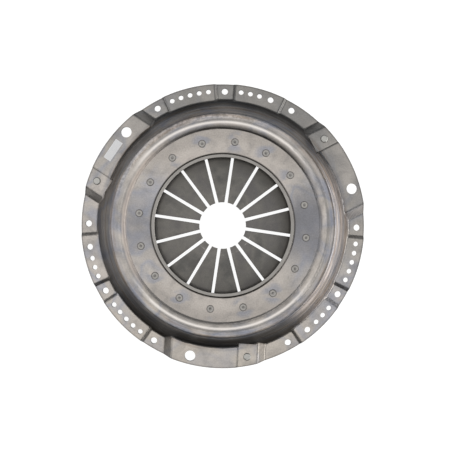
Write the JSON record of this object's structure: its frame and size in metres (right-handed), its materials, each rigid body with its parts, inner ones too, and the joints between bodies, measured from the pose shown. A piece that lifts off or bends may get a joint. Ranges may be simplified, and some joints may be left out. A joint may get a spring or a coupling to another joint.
{
  "type": "clutch pressure plate",
  "caption": "Diaphragm-spring clutch cover assembly: pressed steel cover with a stepped flange, slotted spring fingers, drive straps and an iron pressure plate.",
  "frame": {"origin": "clutch axis at the flange's mounting face", "axes": "+Z along the clutch axis away from the flywheel, towards the gearbox; +X and +Y are the picture's right and up"},
  "size_m": [0.4064, 0.4064, 0.0602],
  "materials": {
    "cover_steel": "satin, bare and lightly oiled",
    "spring_steel": "shot-peened grey",
    "wire_steel": "drawn wire",
    "plate_iron": "turned on the friction face, cast elsewhere",
    "rivet_steel": "upset head, bare",
    "strap_rivet_steel": "upset head, bare and bright",
    "strap_steel": "blued spring strip",
    "label_film": "bare self-adhesive film"
  },
  "bodies": {
    "cover_assembly": {"cover": "cover_steel", "diaphragm_spring": "spring_steel", "upper_fulcrum_ring": "wire_steel", "lower_fulcrum_ring": "wire_steel", "spring_rivet_01": "rivet_steel", "spring_rivet_02": "rivet_steel", "spring_rivet_03": "rivet_steel", "spring_rivet_04": "rivet_steel", "spring_rivet_05": "rivet_steel", "spring_rivet_06": "rivet_steel", "spring_rivet_07": "rivet_steel", "spring_rivet_08": "rivet_steel", "spring_rivet_09": "rivet_steel", "spring_rivet_10": "rivet_steel", "spring_rivet_11": "rivet_steel", "spring_rivet_12": "rivet_steel", "spring_rivet_13": "rivet_steel", "spring_rivet_14": "rivet_steel", "spring_rivet_15": "rivet_steel", "spring_rivet_16": "rivet_steel", "strap_1_leaf_1": "strap_steel", "strap_1_leaf_2": "strap_steel", "strap_1_leaf_3": "strap_steel", "strap_2_leaf_1": "strap_steel", "strap_2_leaf_2": "strap_steel", "strap_2_leaf_3": "strap_steel", "strap_3_leaf_1": "strap_steel", "strap_3_leaf_2": "strap_steel", "strap_3_leaf_3": "strap_steel", "strap_cover_rivet_1": "strap_rivet_steel", "strap_cover_rivet_2": "strap_rivet_steel", "strap_cover_rivet_3": "strap_rivet_steel", "inspection_label": "label_film"},
    "pressure_plate_assembly": {"pressure_plate": "plate_iron", "strap_plate_rivet_1": "strap_rivet_steel", "strap_plate_rivet_2": "strap_rivet_steel", "strap_plate_rivet_3": "strap_rivet_steel"}
  },
  "joints": [
    {"name": "plate_lift", "type": "slide", "parent": "cover_assembly", "child": "pressure_plate_assembly", "axis": [0, 0, 1], "range_m": [0, 0.0056], "stiffness_N_per_m": 30000, "springref_m": -0.01, "deforming": ["diaphragm_spring", "strap_1_leaf_1", "strap_1_leaf_2", "strap_1_leaf_3", "strap_2_leaf_1", "strap_2_leaf_2", "strap_2_leaf_3", "strap_3_leaf_1", "strap_3_leaf_2", "strap_3_leaf_3"]}
  ]
}
